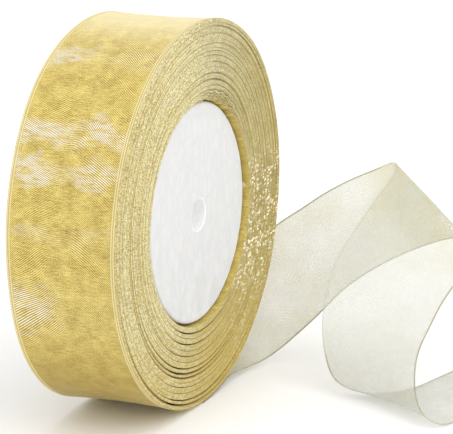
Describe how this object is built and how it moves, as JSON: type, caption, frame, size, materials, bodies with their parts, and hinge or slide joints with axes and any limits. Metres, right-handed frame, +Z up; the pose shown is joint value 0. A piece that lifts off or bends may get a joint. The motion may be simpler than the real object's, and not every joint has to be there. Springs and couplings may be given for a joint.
{
  "type": "ribbon spool",
  "caption": "Roll of sheer gold gift ribbon wound on a white foam disc, with its free end paid out from under the roll, folded over and curled on the table.",
  "frame": {"origin": "centre of the foam disc's bore, at the middle of the ribbon's width", "axes": "+Y along the roll's axis, away from the side that the free end folds towards; +Z up; +X the way the free end leaves the bottom of the roll"},
  "size_m": [0.1034, 0.0937, 0.0858],
  "materials": {
    "foam": "moulded bead foam",
    "tape": "clear adhesive tape",
    "wound_ribbon": "shimmering sheer weave, many layers deep",
    "single_ribbon": "sheer plain weave with corded selvages"
  },
  "bodies": {
    "tail": {"ribbon_tail": "single_ribbon"},
    "roll": {"foam_disc": "foam", "starting_tape": "tape", "inner_turns": "wound_ribbon", "packed_turns": "wound_ribbon", "outer_turns": "wound_ribbon"}
  },
  "joints": [
    {"name": "roll_turn", "type": "hinge", "parent": "tail", "child": "roll", "pos_m": [0, 0, 0], "axis": [0, -1, 0], "continuous": true}
  ]
}
